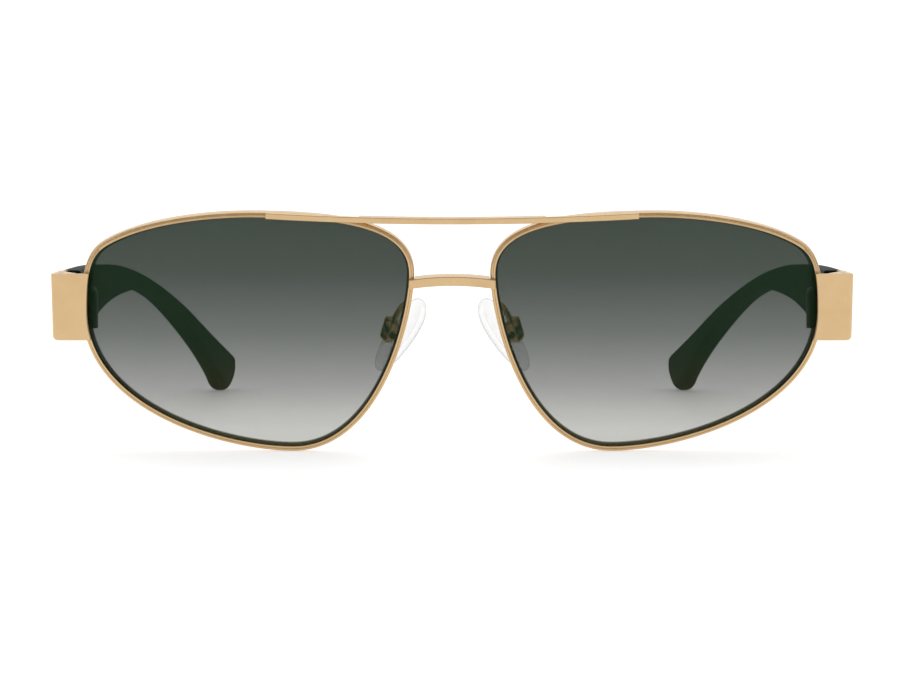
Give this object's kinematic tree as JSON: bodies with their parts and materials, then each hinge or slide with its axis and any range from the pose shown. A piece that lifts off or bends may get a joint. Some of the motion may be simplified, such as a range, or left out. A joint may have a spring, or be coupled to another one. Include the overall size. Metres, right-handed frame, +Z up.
{
  "type": "aviator sunglasses",
  "caption": "Metal double-bridge sunglasses with tinted gradient lenses, wrap-round end pieces, folding temples that bend down behind the ears, and rocking nose pads.",
  "frame": {"origin": "middle of the footprint, on the surface that the sunglasses stand on", "axes": "+X towards the wearer's left, which is the viewer's right from the front; +Y back along the temples; +Z up"},
  "size_m": [0.1478, 0.1436, 0.0448],
  "materials": {
    "gold_metal": "satin gold plating",
    "lens_glass": "polished green tint that fades downwards",
    "acetate": "polished dark green acetate",
    "clear_pad": "clear moulded silicone",
    "steel": "turned steel"
  },
  "bodies": {
    "front": {"rim_left": "gold_metal", "rim_right": "gold_metal", "lens_left": "lens_glass", "lens_right": "lens_glass", "nose_bridge": "gold_metal", "brow_bar": "gold_metal", "rim_lock_upper_left": "gold_metal", "rim_lock_upper_right": "gold_metal", "rim_lock_lower_left": "gold_metal", "rim_lock_lower_right": "gold_metal", "rim_lock_screw_left": "steel", "rim_lock_screw_right": "steel", "endpiece_left": "gold_metal", "endpiece_right": "gold_metal", "hinge_front_leaf_left": "gold_metal", "hinge_front_leaf_right": "gold_metal", "hinge_screw_left": "steel", "hinge_screw_right": "steel", "pad_arm_left": "gold_metal", "pad_arm_right": "gold_metal", "pad_box_left": "gold_metal", "pad_box_right": "gold_metal", "pad_screw_left": "steel", "pad_screw_right": "steel"},
    "temple_left": {"hinge_temple_leaf_left": "gold_metal", "hinge_rivets_left": "steel", "temple_left": "acetate", "temple_core_left": "steel"},
    "temple_right": {"hinge_temple_leaf_right": "gold_metal", "hinge_rivets_right": "steel", "temple_right": "acetate", "temple_core_right": "steel"},
    "pad_left": {"nose_pad_left": "clear_pad"},
    "pad_right": {"nose_pad_right": "clear_pad"}
  },
  "joints": [
    {"name": "temple_left_fold", "type": "hinge", "parent": "front", "child": "temple_left", "pos_m": [0.0674, -0.05602, 0.02576], "axis": [0, 0, 1], "range_deg": [0, 82]},
    {"name": "temple_right_fold", "type": "hinge", "parent": "front", "child": "temple_right", "pos_m": [-0.0674, -0.05602, 0.02576], "axis": [0, 0, -1], "range_deg": [0, 77.5]},
    {"name": "pad_left_rock", "type": "hinge", "parent": "front", "child": "pad_left", "pos_m": [0.0118, -0.0587, 0.02177], "axis": [0.4568, 0.7892, 0.4105], "range_deg": [-8, 8]},
    {"name": "pad_right_rock", "type": "hinge", "parent": "front", "child": "pad_right", "pos_m": [-0.0118, -0.0587, 0.02177], "axis": [-0.4568, 0.7892, 0.4105], "range_deg": [-8, 8]}
  ]
}
